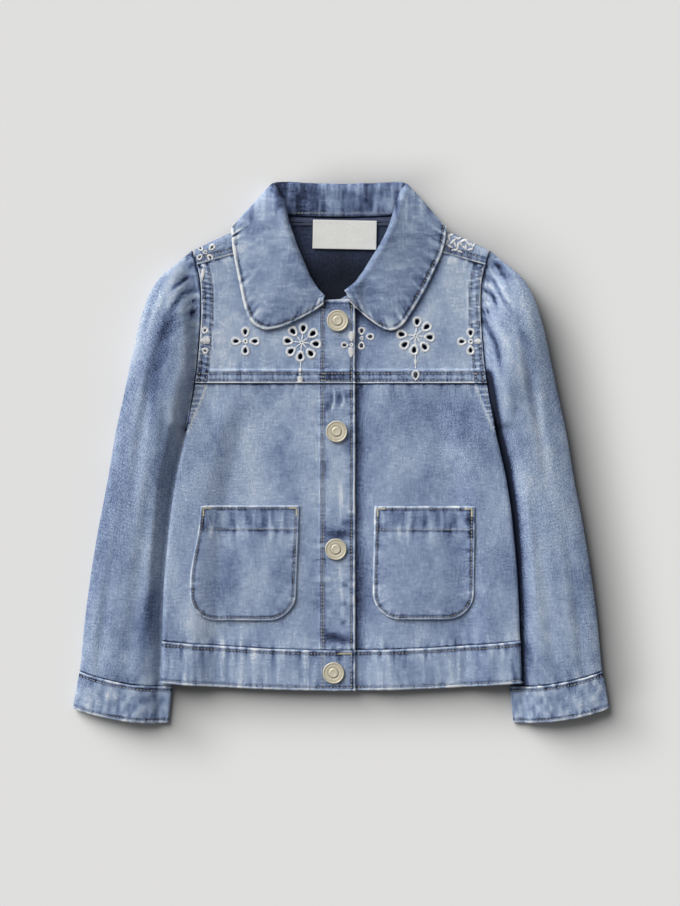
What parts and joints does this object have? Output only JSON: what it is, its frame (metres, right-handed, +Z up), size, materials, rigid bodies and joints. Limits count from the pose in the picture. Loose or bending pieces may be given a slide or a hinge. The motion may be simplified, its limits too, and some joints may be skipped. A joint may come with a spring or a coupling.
{
  "type": "denim jacket",
  "caption": "Toddler's light-wash denim jacket laid flat, with puff sleeves, round-cornered collar, patch pockets and cut-flower embroidery on the yoke.",
  "frame": {"origin": "middle of the jacket's footprint on the surface it lies on", "axes": "+X towards the wearer's left sleeve, +Y from the hem to the collar, +Z up out of the front"},
  "size_m": [0.43, 0.4338, 0.0219],
  "materials": {
    "denim": "light stone-washed cotton twill",
    "button_metal": "pale antique metal, satin",
    "neck_tape": "self-cloth tape",
    "woven_label": "white woven damask, blank"
  },
  "bodies": {
    "root": {"front_right": "denim", "front_left": "denim", "yoke_right": "denim", "yoke_left": "denim", "back_panel": "denim", "hem_band": "denim", "sleeve_right": "denim", "sleeve_left": "denim", "cuff_right": "denim", "cuff_left": "denim", "collar": "denim", "neck_tape": "neck_tape", "neck_label": "woven_label", "pocket_right": "denim", "pocket_left": "denim", "button_1": "button_metal", "button_2": "button_metal", "button_3": "button_metal", "button_4": "button_metal"}
  },
  "joints": []
}
